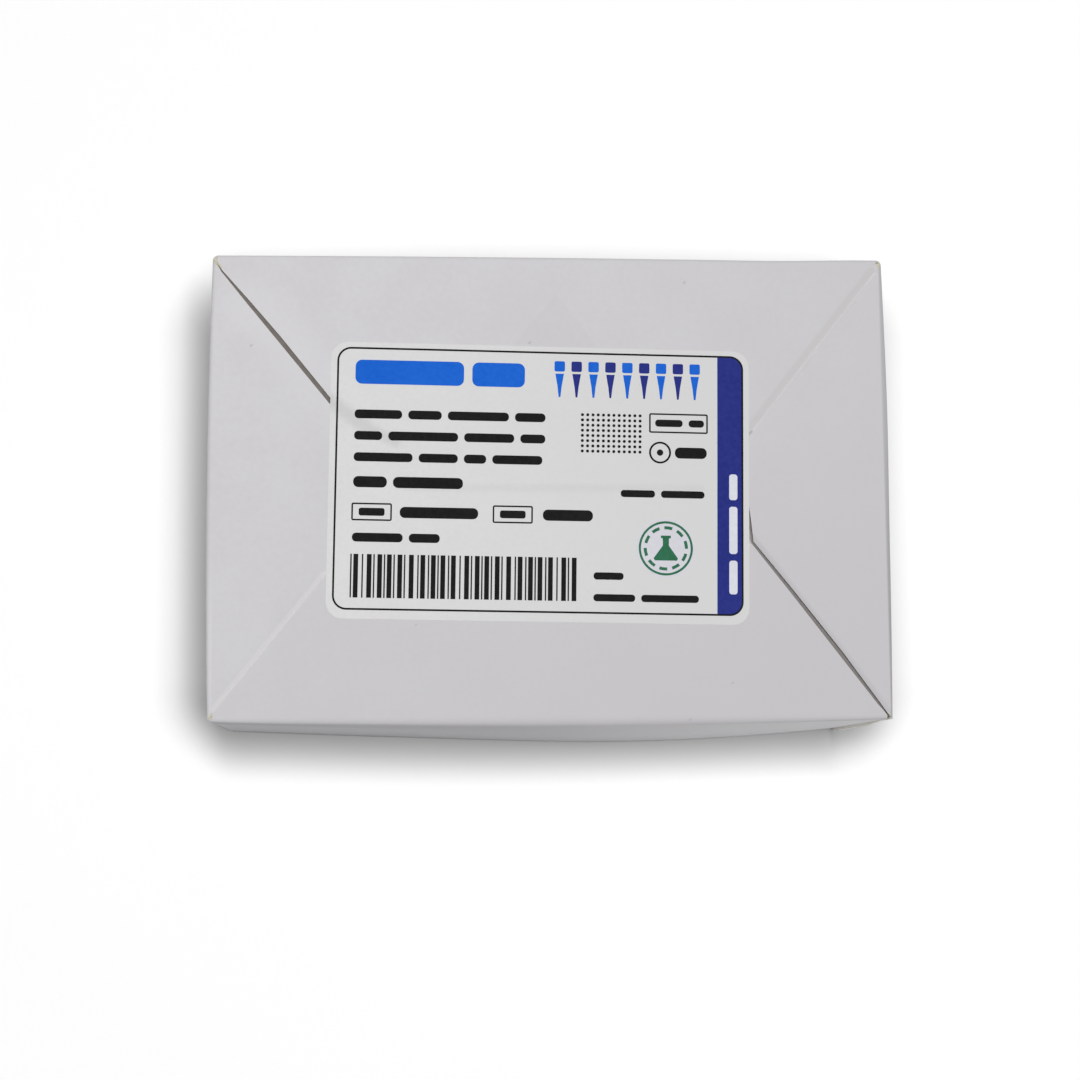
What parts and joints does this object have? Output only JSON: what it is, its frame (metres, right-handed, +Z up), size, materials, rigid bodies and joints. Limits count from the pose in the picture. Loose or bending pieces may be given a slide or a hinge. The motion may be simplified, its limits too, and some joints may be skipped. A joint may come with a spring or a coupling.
{
  "type": "box of pipette tips",
  "caption": "Carton box with a lift-off lid over a paperboard base whose moulded deck holds a grid of filter pipette tips.",
  "frame": {"origin": "middle of the box's footprint, on the surface that it stands on", "axes": "+X along the long side, +Y towards the back, +Z up through the lid; the front faces -Y"},
  "size_m": [0.124, 0.0884, 0.0501],
  "materials": {
    "coated_board": "matte",
    "base_board": "matte",
    "label_paper": "satin",
    "deck_plastic": "satin",
    "tip_plastic": "gloss",
    "filter_plug": "matte"
  },
  "bodies": {
    "base": {"base_carton": "base_board", "tip_deck": "deck_plastic", "tips_column_01": "tip_plastic", "tips_column_02": "tip_plastic", "tips_column_03": "tip_plastic", "tips_column_04": "tip_plastic", "tips_column_05": "tip_plastic", "tips_column_06": "tip_plastic", "tips_column_07": "tip_plastic", "tips_column_08": "tip_plastic", "tips_column_09": "tip_plastic", "tips_column_10": "tip_plastic", "tips_column_11": "tip_plastic", "tips_column_12": "tip_plastic", "filters_column_01": "filter_plug", "filters_column_02": "filter_plug", "filters_column_03": "filter_plug", "filters_column_04": "filter_plug", "filters_column_05": "filter_plug", "filters_column_06": "filter_plug", "filters_column_07": "filter_plug", "filters_column_08": "filter_plug", "filters_column_09": "filter_plug", "filters_column_10": "filter_plug", "filters_column_11": "filter_plug", "filters_column_12": "filter_plug"},
    "lid": {"lid_carton": "coated_board", "label": "label_paper"}
  },
  "joints": [
    {"name": "lid_lift", "type": "slide", "parent": "base", "child": "lid", "axis": [0, 0, 1], "range_m": [0, 0.06]}
  ]
}
